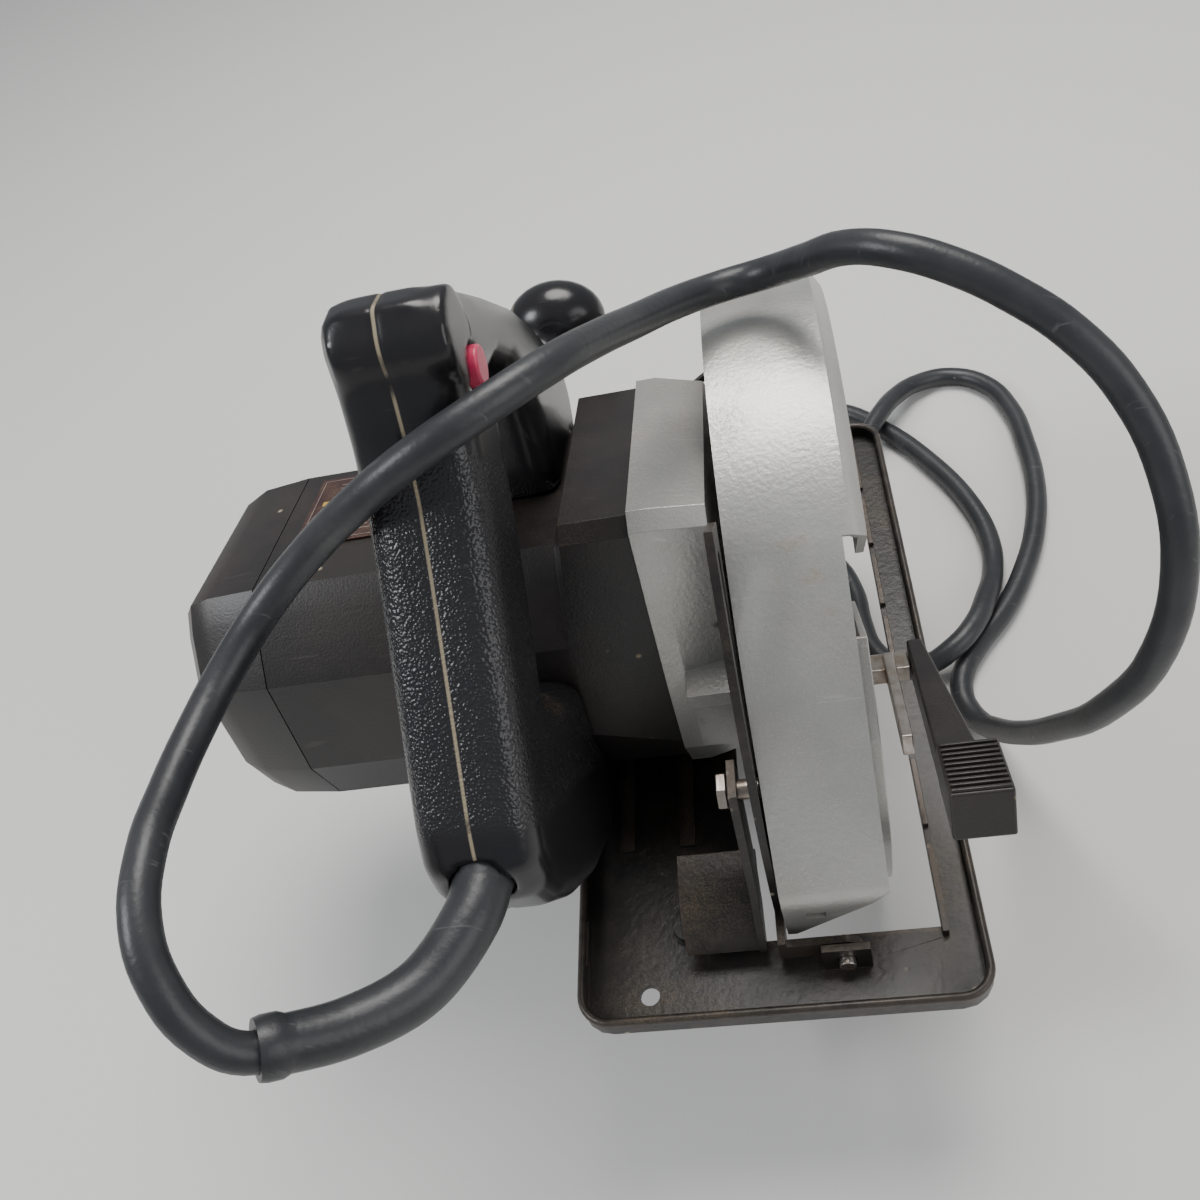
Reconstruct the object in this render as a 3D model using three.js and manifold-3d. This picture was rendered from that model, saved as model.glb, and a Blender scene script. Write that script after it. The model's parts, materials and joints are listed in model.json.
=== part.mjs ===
// A corded 184 mm circular saw with a tilting, height-adjustable sole plate. Millimetres, +Z up.
// z = 0 is the underside of the sole plate, +Y is the cutting direction, +X is the blade side.
// x = 0 is the middle of the wide left part of the plate and y = 0 lies under the arbor axis.
import * as THREE from "three";
import { ConvexGeometry } from "three/addons/geometries/ConvexGeometry.js";
import { mergeVertices } from "three/addons/utils/BufferGeometryUtils.js";
import Module from "manifold-3d";

const wasm = await Module();
wasm.setup();

// Driving dimensions.
const SHOE_X0 = -26;
const SHOE_X1 = 94;
const SHOE_Y0 = -138;
const SHOE_Y1 = 104;
const SHEET = 2;
const LIP = 6.5;
const SLOT_X0 = 26;
const SLOT_X1 = 82;
const SLOT_Y0 = -114;
const SLOT_Y1 = 100;
const ARBOR_Z = 30;
const BLADE_X = 54;
const BLADE_R = 92;
const BLADE_T = 1.8;
const TEETH = 24;
const GUARD_X0 = 38;
const GUARD_X1 = 68;
const GUARD_BULGE = 74.5;
const GUARD_R = 105;
const GUARD_WALL = 2.5;
const LOWER_X0 = 43;
const LOWER_X1 = 71;
const LOWER_R = 99;
const LOWER_WALL = 2;
const LOWER_FROM = 140;
const LOWER_TO = 375;
const LEVER_AT = 160;
const CASE_X0 = 14;
const CASE_X1 = 34.5;
const CASE_DRAFT = 3.5;
const MOTOR_Y = -14.5;
const MOTOR_Z = 56.5;
const HOUSING_BORE = 43.5;
const HOUSING_FLARE = -5;
const HOUSING_WAIST = -10.6;
const HOUSING_X0 = -103;
const HOUSING_X1 = 13.7;
const CAP_X0 = -133;
const CAP_ROUND = 14;
const GEAR_TEETH = 38;
const PINION_TEETH = 9;
const HANDLE_X = -26;
const HANDLE_W = 30;
const HINGE_Y = 88;
const HINGE_Z = 13;
const BEVEL_X = 54;
const BEVEL_Z = 8;
const LOCK_Y = -97;
const LOCK_Z = 61;
const CORD_D = 9;
const GAP = 0.3;
const FLOOR_Z = ARBOR_Z - LOWER_R;

const centre = Math.hypot(MOTOR_Y, MOTOR_Z - ARBOR_Z);
const gearModule = (2 * centre) / (GEAR_TEETH + PINION_TEETH);
const meshAngle = THREE.MathUtils.radToDeg(Math.atan2(MOTOR_Z - ARBOR_Z, MOTOR_Y));
const lockR = Math.hypot(LOCK_Y - HINGE_Y, LOCK_Z - HINGE_Z);
const lockAngle = THREE.MathUtils.radToDeg(Math.atan2(LOCK_Z - HINGE_Z, HINGE_Y - LOCK_Y));
const handleX0 = HANDLE_X - HANDLE_W / 2;
const handleX1 = HANDLE_X + HANDLE_W / 2;
const cordR = CORD_D / 2;

const paint = (color, roughness, metalness) =>
  new THREE.MeshStandardMaterial({ color, roughness, metalness });
const castSilver = paint(0xb9b7b0, 0.42, 0.75);
const blackPlastic = paint(0x17171a, 0.38, 0);
const housingPlastic = paint(0x221f1f, 0.6, 0);
const blackSteel = paint(0x24211f, 0.5, 0.5);
const brightSteel = paint(0x9a958c, 0.35, 0.9);
const copper = paint(0xa8623a, 0.4, 0.9);
const ironStack = paint(0x5c5a58, 0.5, 0.8);
const rubber = paint(0x2b2b2d, 0.65, 0);
const redPlastic = paint(0xc23a50, 0.4, 0);
const labelFilm = paint(0x33201f, 0.45, 0);
const carbon = paint(0x1a1a1a, 0.8, 0.1);

// A closed three.js geometry as a solid that can be joined and cut.
function solid(geometry) {
  const bare = geometry.clone();
  bare.deleteAttribute("normal");
  bare.deleteAttribute("uv");
  const merged = mergeVertices(bare, 1e-4);
  const vertProperties = new Float32Array(merged.attributes.position.array);
  const triVerts = new Uint32Array(merged.index.array);
  const made = new wasm.Manifold(new wasm.Mesh({ numProp: 3, vertProperties, triVerts }));
  if (made.volume() > 0) return made;
  triVerts.reverse();
  return new wasm.Manifold(new wasm.Mesh({ numProp: 3, vertProperties, triVerts }));
}

function piece(name, body, material) {
  const m = body.getMesh();
  const g = new THREE.BufferGeometry();
  g.setAttribute("position", new THREE.BufferAttribute(new Float32Array(m.vertProperties), 3));
  g.setIndex(new THREE.BufferAttribute(new Uint32Array(m.triVerts), 1));
  g.computeVertexNormals();
  const mesh = new THREE.Mesh(g, material);
  mesh.name = name;
  return mesh;
}

const join = (...bodies) => bodies.reduce((a, b) => a.add(b));
const cut = (body, ...tools) => tools.reduce((a, b) => a.subtract(b), body);

// Local (x, y, z) of an extrusion becomes (Y, Z, X), or (Z, X, Y).
const alongX = new THREE.Matrix4().set(0, 0, 1, 0, 1, 0, 0, 0, 0, 1, 0, 0, 0, 0, 0, 1);
const alongY = new THREE.Matrix4().set(0, 1, 0, 0, 0, 0, 1, 0, 1, 0, 0, 0, 0, 0, 0, 1);

function extruded(points, depth, bevel) {
  const shape = new THREE.Shape(points.map(([a, b]) => new THREE.Vector2(a, b)));
  if (!bevel) return new THREE.ExtrudeGeometry(shape, { depth, bevelEnabled: false, steps: 1 });
  return new THREE.ExtrudeGeometry(shape, {
    depth: depth - 2 * bevel,
    bevelEnabled: true,
    bevelThickness: bevel,
    bevelSize: bevel,
    bevelOffset: -bevel,
    bevelSegments: 3,
    steps: 1,
  }).translate(0, 0, bevel);
}

// Prisms of an outline of [y, z], [x, z] or [x, y] pairs.
const prismX = (points, x0, x1, bevel = 0) =>
  solid(extruded(points, x1 - x0, bevel).applyMatrix4(alongX).translate(x0, 0, 0));
const prismY = (points, y0, y1) =>
  solid(extruded(points.map(([x, z]) => [z, x]), y1 - y0, 0).applyMatrix4(alongY).translate(0, y0, 0));
const prismZ = (points, z0, z1) => solid(extruded(points, z1 - z0, 0).translate(0, 0, z0));

const box = (x0, x1, y0, y1, z0, z1) =>
  solid(
    new THREE.BoxGeometry(x1 - x0, y1 - y0, z1 - z0).translate(
      (x0 + x1) / 2,
      (y0 + y1) / 2,
      (z0 + z1) / 2,
    ),
  );

// Points of an arc about (a, b), both ends included.
function arc(a, b, r, from, to, step = 6) {
  const n = Math.max(2, Math.ceil(Math.abs(to - from) / step));
  const points = [];
  for (let i = 0; i <= n; i++) {
    const t = THREE.MathUtils.degToRad(from + ((to - from) * i) / n);
    points.push([a + r * Math.cos(t), b + r * Math.sin(t)]);
  }
  return points;
}

function circle(a, b, r, n = 24) {
  return arc(a, b, r, 0, 360 - 360 / n, 360 / n);
}

const band = (a, b, r0, r1, from, to, step = 6) => [
  ...arc(a, b, r1, from, to, step),
  ...arc(a, b, r0, to, from, step),
];

function roundedRect(x0, y0, x1, y1, r) {
  return [
    ...arc(x1 - r, y1 - r, r, 0, 90, 22.5),
    ...arc(x0 + r, y1 - r, r, 90, 180, 22.5),
    ...arc(x0 + r, y0 + r, r, 180, 270, 22.5),
    ...arc(x1 - r, y0 + r, r, 270, 360, 22.5),
  ];
}

const rodX = (r, x0, x1, y = 0, z = 0, n = 24) => prismX(circle(y, z, r, n), x0, x1);
const rodY = (r, y0, y1, x, z, n = 20) => prismY(circle(x, z, r, n), y0, y1);
const rodZ = (r, z0, z1, x, y, n = 20) => prismZ(circle(x, y, r, n), z0, z1);
const ringX = (r0, r1, x0, x1, y = 0, z = 0, n = 24) =>
  cut(rodX(r1, x0, x1, y, z, n), rodX(r0, x0 - 1, x1 + 1, y, z, n));

// A toothed wheel about X: flanks slope from the root to a narrower tip.
function wheel(teeth, root, tip, x0, x1, phase) {
  const points = [];
  const pitch = 360 / teeth;
  for (let i = 0; i < teeth; i++) {
    const a = phase + i * pitch;
    points.push(...arc(0, 0, root, a - 0.36 * pitch, a - 0.3 * pitch, 90).slice(0, 1));
    points.push(...arc(0, 0, tip, a - 0.1 * pitch, a + 0.1 * pitch, 90).filter((p, k) => k !== 1));
    points.push(...arc(0, 0, root, a + 0.3 * pitch, a + 0.36 * pitch, 90).slice(-1));
  }
  return prismX(points, x0, x1);
}

// The convex body round outlines of [y, z] pairs, each at its own x: [[x, outline], ...].
function hullX(stations) {
  const corners = stations.flatMap(([x, outline]) => outline.map(([y, z]) => new THREE.Vector3(x, y, z)));
  return solid(new ConvexGeometry(corners));
}

// An outline grown by d about (y, z), along the line from there to each corner.
const grown = (outline, d, y, z) =>
  outline.map(([a, b]) => {
    const r = Math.hypot(a - y, b - z);
    return [y + ((a - y) * (r + d)) / r, z + ((b - z) * (r + d)) / r];
  });

// A round bar that follows a smooth line through the points.
function tube(points, r, sides, steps) {
  const path = new THREE.CatmullRomCurve3(
    points.map(([x, y, z]) => new THREE.Vector3(x, y, z)),
    false,
    "centripetal",
  );
  const shape = new THREE.Shape(circle(0, 0, r, sides).map(([a, b]) => new THREE.Vector2(a, b)));
  return solid(new THREE.ExtrudeGeometry(shape, { steps, bevelEnabled: false, extrudePath: path }));
}

// A body of revolution about Z from a closed [r, z] outline.
function turned(profile, segments) {
  const points = [...profile, profile[0]].map(([r, z]) => new THREE.Vector2(r, z));
  return solid(new THREE.LatheGeometry(points, segments).rotateX(Math.PI / 2));
}

const saw = new THREE.Group();
const plateGroup = new THREE.Group();
const tiltGroup = new THREE.Group();
const sawGroup = new THREE.Group();
const arborGroup = new THREE.Group();
const lowerGroup = new THREE.Group();
const motorGroup = new THREE.Group();
const handleGroup = new THREE.Group();
const cordGroup = new THREE.Group();
arborGroup.position.set(0, 0, ARBOR_Z);
lowerGroup.position.set(0, 0, ARBOR_Z);
motorGroup.position.set(0, MOTOR_Y, MOTOR_Z);
sawGroup.add(arborGroup, lowerGroup, motorGroup, handleGroup, cordGroup);
tiltGroup.add(sawGroup);
saw.add(plateGroup, tiltGroup);

// Sole plate: a pressed tray with an upturned edge, the blade slot and the right rail.
function soleplate() {
  const tray = cut(
    prismZ(roundedRect(SHOE_X0, SHOE_Y0, SHOE_X1, SHOE_Y1, 10), 0, LIP),
    prismZ(
      roundedRect(SHOE_X0 + SHEET, SHOE_Y0 + SHEET, SHOE_X1 - SHEET, SHOE_Y1 - SHEET, 8),
      SHEET,
      LIP + 1,
    ),
  );
  const rail = box(SLOT_X1, SLOT_X1 + 1.8, SLOT_Y0 - 3, SLOT_Y1 + 3, 1, 5.2);
  const ribs = [-14, 6].map((x) => box(x, x + 5, -80, 78, 1, 3.2));
  const boss = rodZ(5, 1, 5, 8, -108);
  const tab = box(BEVEL_X - 7, BEVEL_X + 7, -124.4, -122.2, 1, BEVEL_Z + 6);
  const notches = [-88, -58, -28, 2, 32, 62].map((y) => box(SLOT_X1 - 1, SLOT_X1 + 3, y, y + 6, 3.4, 7));
  return cut(
    join(tray, rail, ...ribs, boss, tab),
    box(SLOT_X0, SLOT_X1, SLOT_Y0, SLOT_Y1, -1, LIP + 1),
    ...notches,
    rodZ(3, -1, 3, -5, -128),
    rodZ(2, -1, 6, 8, -108, 16),
    box(13, 22, -87, -85, -1, 3),
    box(SHOE_X0 - 1, SHOE_X0 + 3, -118, -103, 2.8, 5),
    rodY(2.7, -126, -120, BEVEL_X, BEVEL_Z),
  );
}
plateGroup.add(piece("shoe", soleplate(), blackSteel));

// Front tilt quadrant: an upright plate with an arc slot about the tilt axis.
const QUADRANT_R = 42;
const KNOB_AT = 170;
function tiltQuadrant() {
  const body = prismY(band(BEVEL_X, BEVEL_Z, QUADRANT_R - 5, QUADRANT_R + 6, 117, 179), 98.6, 100.6);
  const foot = box(5, 19, 96.8, 100.6, SHEET + GAP, BEVEL_Z + 1.2);
  const slotTo = KNOB_AT + 5;
  const slot = prismY(
    band(BEVEL_X, BEVEL_Z, QUADRANT_R - 3.3, QUADRANT_R + 3.3, slotTo - 55, slotTo),
    97,
    102,
  );
  return cut(join(body, foot), slot);
}
plateGroup.add(piece("tilt_quadrant", tiltQuadrant(), blackSteel));
plateGroup.add(piece("rear_tilt_pin", rodY(2.4, -126.6, -117.6, BEVEL_X, BEVEL_Z), brightSteel));

// Front tilt bracket carries the height hinge, and the bolt and knob lock it to the quadrant.
const knobX = arc(BEVEL_X, BEVEL_Z, QUADRANT_R, KNOB_AT, KNOB_AT + 1)[0][0];
const knobZ = arc(BEVEL_X, BEVEL_Z, QUADRANT_R, KNOB_AT, KNOB_AT + 1)[0][1];
function tiltBracket() {
  const ears = [9, 29].map((x) => box(x, x + 2.5, HINGE_Y - 7, 96.4, 6, HINGE_Z + 7));
  const plate = box(8, 36, 94, 96.4, 4, 20);
  return cut(
    join(plate, ...ears),
    rodX(2.8, 5, 40, HINGE_Y, HINGE_Z),
    rodY(3.2, 90, 100, knobX, knobZ),
  );
}
tiltGroup.add(piece("tilt_bracket", tiltBracket(), blackSteel));
tiltGroup.add(piece("height_hinge_pin", rodX(2.5, 6.5, 37, HINGE_Y, HINGE_Z), brightSteel));

function tiltKnob() {
  const lobes = [0, 90, 180, 270].map((a) => {
    const [x, z] = arc(knobX, knobZ, 5.5, a, a + 1)[0];
    return rodY(4, 106, 117, x, z, 16);
  });
  return join(rodY(2.8, 91, 108, knobX, knobZ), rodY(7, 105, 117, knobX, knobZ), ...lobes);
}
tiltGroup.add(piece("tilt_knob", tiltKnob(), blackPlastic));

// Height quadrant: an upright arc about the height hinge, pinned to the rear of the plate.
function heightQuadrant() {
  const bar = prismX(band(HINGE_Y, HINGE_Z, lockR - 8, lockR + 8, 183, 180 - lockAngle - 23, 2.5), 35, 37.3);
  const slotFrom = 180 - lockAngle + 2;
  const slotTo = 180 - lockAngle - 21;
  const slot = prismX(band(HINGE_Y, HINGE_Z, lockR - 3.2, lockR + 3.2, slotFrom, slotTo, 2.5), 34, 39);
  const toe = box(35, 37.3, -121.4, -98, BEVEL_Z - 2.5, 15);
  const cross = box(35, BEVEL_X, -121.4, -119.2, BEVEL_Z - 2.5, BEVEL_Z + 5);
  const eye = rodY(5.2, -121.4, -119.2, BEVEL_X, BEVEL_Z);
  return cut(join(bar, toe, cross, eye), slot, rodY(2.7, -123, -118, BEVEL_X, BEVEL_Z));
}
tiltGroup.add(piece("height_quadrant", heightQuadrant(), blackSteel));

// Height lock: a bolt through the arc slot, and a lever whose thumb tab curls to the left.
function lockBolt() {
  const head = rodX(5.4, 26, 28.6, LOCK_Y, LOCK_Z, 6);
  return join(head, rodX(2.8, 28, 37.5, LOCK_Y, LOCK_Z, 16));
}
function lockLever() {
  const arm = prismX(
    [
      [LOCK_Y - 6, LOCK_Z + 6],
      [LOCK_Y + 6, LOCK_Z + 6],
      [LOCK_Y + 6, LOCK_Z - 8],
      [-101, 20],
      [-107, 13],
      [-120, 8],
      [-119, 14],
      [-112, 28],
    ],
    29.2,
    31.6,
  );
  const tab = prismX(
    [
      [-95, 22],
      [-95, 24.2],
      [-107, 22.6],
      [-115, 18],
      [-120, 9.5],
      [-118, 8.6],
      [-113.4, 16.2],
      [-106, 20.4],
    ],
    8,
    31.6,
  );
  return cut(join(arm, tab), rodX(3.1, 28, 33, LOCK_Y, LOCK_Z, 16));
}
sawGroup.add(piece("height_lock_bolt", lockBolt(), brightSteel));
sawGroup.add(piece("height_lock_lever", lockLever(), blackSteel));

// Upper blade guard: rim, left wall with the hinge lug, and the bulged cover on the right.
const TAIL_FROM = 150;
function guardOutline(r, tail, low, front) {
  return [
    ...arc(0, ARBOR_Z, r, front, TAIL_FROM, 5),
    [-117 + tail, 37],
    [-118 + tail, 29],
    [-115.5 + tail, low],
  ];
}
function upperGuard() {
  const left = [...guardOutline(GUARD_R, 0, 8.5, -8), [-112, 8.5], [72, 8.5]];
  const inner = [...guardOutline(GUARD_R - GUARD_WALL, GUARD_WALL, 0, -20), [60, 0]];
  const shell = cut(
    prismX(left, GUARD_X0, GUARD_X1),
    prismX(inner, GUARD_X0 + GUARD_WALL, GUARD_X1 + 1),
  );
  const r1 = GUARD_R - GUARD_WALL;
  const x1 = GUARD_BULGE;
  const profile = [
    [r1, GUARD_X1 - 2],
    [GUARD_R, GUARD_X1 - 2],
    [GUARD_R, x1 - 4],
    [GUARD_R - 7, x1],
    [66, x1],
    [66, x1 - 2.4],
    [GUARD_R - 8, x1 - 2.4],
    [r1, x1 - 5],
  ];
  const dished = solid(
    new THREE.LatheGeometry(
      [...profile, profile[0]].map(([r, x]) => new THREE.Vector2(r, x)),
      72,
    )
      .applyMatrix4(alongY)
      .applyMatrix4(alongY)
      .applyMatrix4(alongY)
      .rotateZ(-Math.PI / 2)
      .translate(0, 0, ARBOR_Z),
  );
  const wedge = [
    [0, ARBOR_Z],
    ...arc(0, ARBOR_Z, 140, 40, 125, 8),
  ];
  const bulge = dished.intersect(prismX(wedge, GUARD_X1 - 5, x1 + 5));
  const lug = rodX(5.6, 32, GUARD_X0 + 1, HINGE_Y, HINGE_Z);
  const skew = prismY(
    [
      [GUARD_X0 + 2.6, 0],
      [GUARD_X1 + 3, 0],
      [GUARD_X1 + 3, 36],
      [GUARD_X0 + 2.6, 8.4],
    ],
    -125,
    -96,
  );
  const frontSkew = prismY(
    [
      [GUARD_X0 + 12, 0],
      [GUARD_BULGE + 6, 0],
      [GUARD_BULGE + 6, 41],
      [GUARD_X0 + 12, 11],
    ],
    92,
    112,
  );
  return cut(
    join(shell, bulge, lug),
    skew,
    frontSkew,
    rodX(21, GUARD_X0 - 1, GUARD_X0 + 3, 0, ARBOR_Z, 32),
    rodX(2.8, 31, GUARD_X0 + 3, HINGE_Y, HINGE_Z, 16),
    rodX(2, 70, 80, 20, ARBOR_Z + 78, 12),
    box(GUARD_X0 + 6, GUARD_X0 + 12, -125, -110, 21, 25),
  );
}
sawGroup.add(piece("upper_guard", upperGuard(), castSilver));

// Gear case: faceted outside, open towards the motor, with the arbor nose on its right.
const NOSE_R = 20;
const NOSE_X = 46.8;
const gearTip = (gearModule * GEAR_TEETH) / 2 + gearModule * 0.85;
const caseOutline = [
  [41, 60],
  [41, 84],
  [36, 98],
  [25, 109],
  [-50, 126],
  [-55, 122.5],
  [-60, 94],
  [-64, 66],
  [-66, 38],
  [-60, 22],
  [-44, 12],
  [-22, 5],
  [16, 8],
  [34, 34],
];
function gearCase() {
  const lug = box(20, CASE_X1, -72, -60, 66, 72);
  const body = join(
    hullX([
      [CASE_X0, caseOutline],
      [CASE_X0 + 6, caseOutline],
      [CASE_X1, grown(caseOutline, -CASE_DRAFT, MOTOR_Y, MOTOR_Z)],
    ]),
    lug,
    rodX(gearTip + 2.2, CASE_X0, CASE_X1, 0, ARBOR_Z, 36),
    rodX(NOSE_R, CASE_X1 - 1, NOSE_X, 0, ARBOR_Z, 32),
  );
  return cut(
    body,
    rodX(gearTip + 0.7, CASE_X0 - 1, 31, 0, ARBOR_Z, 32),
    rodX(13, CASE_X0 - 1, 32, MOTOR_Y, MOTOR_Z),
    rodX(7, 30, NOSE_X + 1, 0, ARBOR_Z),
    rodX(14, 38.6, NOSE_X + 1, 0, ARBOR_Z),
  );
}
sawGroup.add(piece("gear_case", gearCase(), castSilver));

// Blade spindle, modelled about the arbor axis.
function bladeDisc() {
  const points = [];
  const pitch = 360 / TEETH;
  for (let i = 0; i < TEETH; i++) {
    const a = -i * pitch;
    points.push(arc(0, 0, BLADE_R, a, a + 1)[0]);
    points.push(arc(0, 0, BLADE_R - 2, a - 0.3 * pitch, a)[0]);
    points.push(arc(0, 0, BLADE_R - 8, a - 0.62 * pitch, a)[0]);
    points.push(arc(0, 0, BLADE_R - 10, a - 0.86 * pitch, a)[0]);
    points.push(arc(0, 0, BLADE_R - 6, a - 0.97 * pitch, a)[0]);
  }
  const disc = prismX(points, BLADE_X - BLADE_T / 2, BLADE_X + BLADE_T / 2);
  return cut(disc, rodX(6.4, BLADE_X - 3, BLADE_X + 3, 0, 0));
}
arborGroup.add(piece("blade", bladeDisc(), brightSteel));
arborGroup.add(piece("arbor_shaft", rodX(6, 16, 58.2), brightSteel));
arborGroup.add(
  piece(
    "arbor_gear",
    cut(
      wheel(GEAR_TEETH, gearTip - gearModule * 2, gearTip, 19, 29, meshAngle + 180 / GEAR_TEETH),
      rodX(6.3, 18, 30),
    ),
    ironStack,
  ),
);
arborGroup.add(piece("arbor_bearing", ringX(6.3, 13.7, 39, 46), brightSteel));
arborGroup.add(piece("inner_flange", ringX(6.3, 17, 47.2, BLADE_X - 1.2), ironStack));
arborGroup.add(piece("outer_flange", ringX(6.3, 17, BLADE_X + 1.2, 58.2), ironStack));
arborGroup.add(
  piece("blade_bolt", join(rodX(10, 58.6, 60.6), prismX(circle(0, 0, 8, 6), 60.4, 66)), brightSteel),
);

// Lower blade guard, its return spring and its lift lever.
function lowerGuard() {
  const rim = prismX(
    band(0, 0, LOWER_R - LOWER_WALL, LOWER_R, LOWER_FROM, LOWER_TO),
    LOWER_X0,
    LOWER_X1,
  );
  const inside = prismX(band(0, 0, 22, LOWER_R - 1, LOWER_FROM, LOWER_TO), LOWER_X0, LOWER_X0 + LOWER_WALL);
  const outside = prismX(
    band(0, 0, 44, LOWER_R - 1, LOWER_FROM, LOWER_TO),
    LOWER_X1 - LOWER_WALL,
    LOWER_X1,
  );
  const hub = rodX(25, LOWER_X0, LOWER_X0 + LOWER_WALL, 0, 0, 32);
  return cut(
    join(rim, inside, outside, hub),
    rodX(NOSE_R + 0.4, LOWER_X0 - 1, LOWER_X0 + 4, 0, 0, 32),
    prismX(band(0, 0, 70, 84, 166, 188), LOWER_X1 - 3, LOWER_X1 + 1),
  );
}
lowerGroup.add(piece("lower_guard", lowerGuard(), castSilver));
lowerGroup.add(piece("lower_guard_spring", ringX(NOSE_R + 0.5, 22.8, 41, 42.6, 0, 0, 32), brightSteel));

// The lever pieces are drawn along +Y and turned to their place on the guard.
const leverGroup = new THREE.Group();
leverGroup.rotation.x = THREE.MathUtils.degToRad(LEVER_AT);
lowerGroup.add(leverGroup);
leverGroup.add(
  piece(
    "lift_lever_bracket",
    join(box(LOWER_X1 + GAP, 83.6, 53, 62, -2.5, 2.5), box(76.5, 79.5, 55, 97, -4, 2.5)),
    brightSteel,
  ),
);
const leverPlan = [
  [84, 51],
  [88.5, 51],
  [94.5, 103],
  [99.5, 107],
  [99.5, 128],
  [84, 128],
];
leverGroup.add(
  piece(
    "lift_lever",
    join(prismZ(leverPlan, -5, 5), box(84, 99.5, 107, 128, -8, 6.5)),
    blackPlastic,
  ),
);

// Motor, modelled about the armature axis.
const shaft = join(
  rodX(4, -104, 19.5, 0, 0, 16),
  wheel(PINION_TEETH, 4, (gearModule * PINION_TEETH) / 2 + gearModule * 0.85, 19, 30.4, meshAngle + 180),
);
motorGroup.add(piece("armature_shaft", shaft, brightSteel));
function armatureCore() {
  const slots = [];
  for (let i = 0; i < 12; i++) slots.push(prismX(circle(...arc(0, 0, 22.6, i * 30, i * 30 + 1)[0], 2.6, 8), -80, -27));
  return cut(rodX(25.6, -79, -28, 0, 0, 36), rodX(4.3, -81, -26, 0, 0, 16), ...slots);
}
motorGroup.add(piece("armature_core", armatureCore(), ironStack));
motorGroup.add(piece("commutator", ringX(4.3, 12, -95, -83), copper));
const FAN_R = HOUSING_BORE - 7.5;
function coolingFan() {
  const blades = [];
  for (let i = 0; i < 9; i++) blades.push(prismX(
    [
      [8, -1],
      [FAN_R, -6],
      [FAN_R, -4],
      [8, 1],
    ],
    -11,
    -0.5,
  ).rotate([i * 40, 0, 0]));
  return cut(join(rodX(FAN_R, -2.4, 0, 0, 0, 32), rodX(9, -11, 0), ...blades), rodX(4.3, -13, 2, 0, 0, 16));
}
motorGroup.add(piece("cooling_fan", coolingFan(), blackPlastic));
motorGroup.add(piece("front_bearing", ringX(4.3, 10.6, 7, 13), brightSteel));
motorGroup.add(piece("rear_bearing", ringX(4.3, 9.2, -102.4, -97), brightSteel));
const STATOR_R = HOUSING_BORE - 4.2;
const STATOR_YOKE = 6.3;
function fieldStator() {
  const bore = rodX(26.6, -81, -26, 0, 0, 32);
  const windowTo = STATOR_R - STATOR_YOKE;
  const windows = [-1, 1].map((s) => box(-81, -26, -17, 17, s > 0 ? 25 : -windowTo, s > 0 ? windowTo : -25));
  return cut(rodX(STATOR_R, -78, -29, 0, 0, 40), bore, ...windows);
}
motorGroup.add(piece("field_stator", fieldStator(), ironStack));
const HOLDER_R = HOUSING_BORE - 5.5;
const HOLDER_WALL = 5;
const BRUSH_SLACK = 6;
for (const [side, name] of [[1, "front"], [-1, "rear"]]) {
  const y = (a, b) => (side > 0 ? [a, b] : [-b, -a]);
  motorGroup.add(piece("brush_" + name, box(-92, -86, ...y(12.4, HOLDER_R - HOLDER_WALL - BRUSH_SLACK), -4, 4), carbon));
  const holder = cut(
    box(-94.4, -83.6, ...y(17, HOLDER_R), -6.4, 6.4),
    box(-92.4, -85.6, ...y(16, HOLDER_R - HOLDER_WALL), -4.4, 4.4),
  );
  motorGroup.add(piece("brush_holder_" + name, holder, copper));
}

// Motor housing: a faceted shell that flares to meet the gear case, with a bearing wall at each end.
const HOUSING_Y = MOTOR_Y - 2.5;
const HOUSING_Z = MOTOR_Z;
const TOP_FRONT = [24, 93];
const TOP_REAR = [-39, 107];
const housingOutline = [
  [31, 50],
  [31, 86],
  TOP_FRONT,
  TOP_REAR,
  [-47, 101.5],
  [-61, 87],
  [-67, 52],
  [-62, 30],
  [-45, 11],
  [0, 10],
  [22, 22],
];
const CASE_STEP = 2.2;
function housingHull(clearance, x0) {
  const slim = grown(housingOutline, clearance, HOUSING_Y, HOUSING_Z);
  const wide = grown(caseOutline, clearance - CASE_STEP, HOUSING_Y, HOUSING_Z);
  return join(
    hullX([[x0, slim], [HOUSING_WAIST, slim]]),
    hullX([[HOUSING_WAIST, slim], [HOUSING_FLARE, wide], [HOUSING_X1, wide]]),
  );
}
function motorHousing() {
  return cut(
    housingHull(0, HOUSING_X0),
    rodX(HOUSING_BORE, HOUSING_X0 + 6.5, 5.7, HOUSING_Y, HOUSING_Z, 40),
    rodX(10.9, 5, 15, MOTOR_Y, MOTOR_Z),
    rodX(9.5, HOUSING_X0 - 1, HOUSING_X0 + 8, MOTOR_Y, MOTOR_Z),
  );
}
sawGroup.add(piece("motor_housing", motorHousing(), housingPlastic));
function endCap() {
  const seam = HOUSING_X0 - GAP;
  const shrunk = (share) => grown(housingOutline, -CAP_ROUND * share, HOUSING_Y, HOUSING_Z);
  const dome = hullX([
    [seam, housingOutline],
    [CAP_X0 + CAP_ROUND, shrunk(0.12)],
    [CAP_X0 + CAP_ROUND * 0.45, shrunk(0.4)],
    [CAP_X0 + CAP_ROUND * 0.12, shrunk(0.85)],
    [CAP_X0, shrunk(1.3)],
  ]);
  const vents = [-20, -10, 0, 10, 20].map((y) =>
    box(CAP_X0 - 1, CAP_X0 + 6, HOUSING_Y + y - 2, HOUSING_Y + y + 2, HOUSING_Z - 19, HOUSING_Z + 19),
  );
  return cut(dome, rodX(31, CAP_X0 + 4, seam + 1, HOUSING_Y, HOUSING_Z, 32), ...vents);
}
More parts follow.
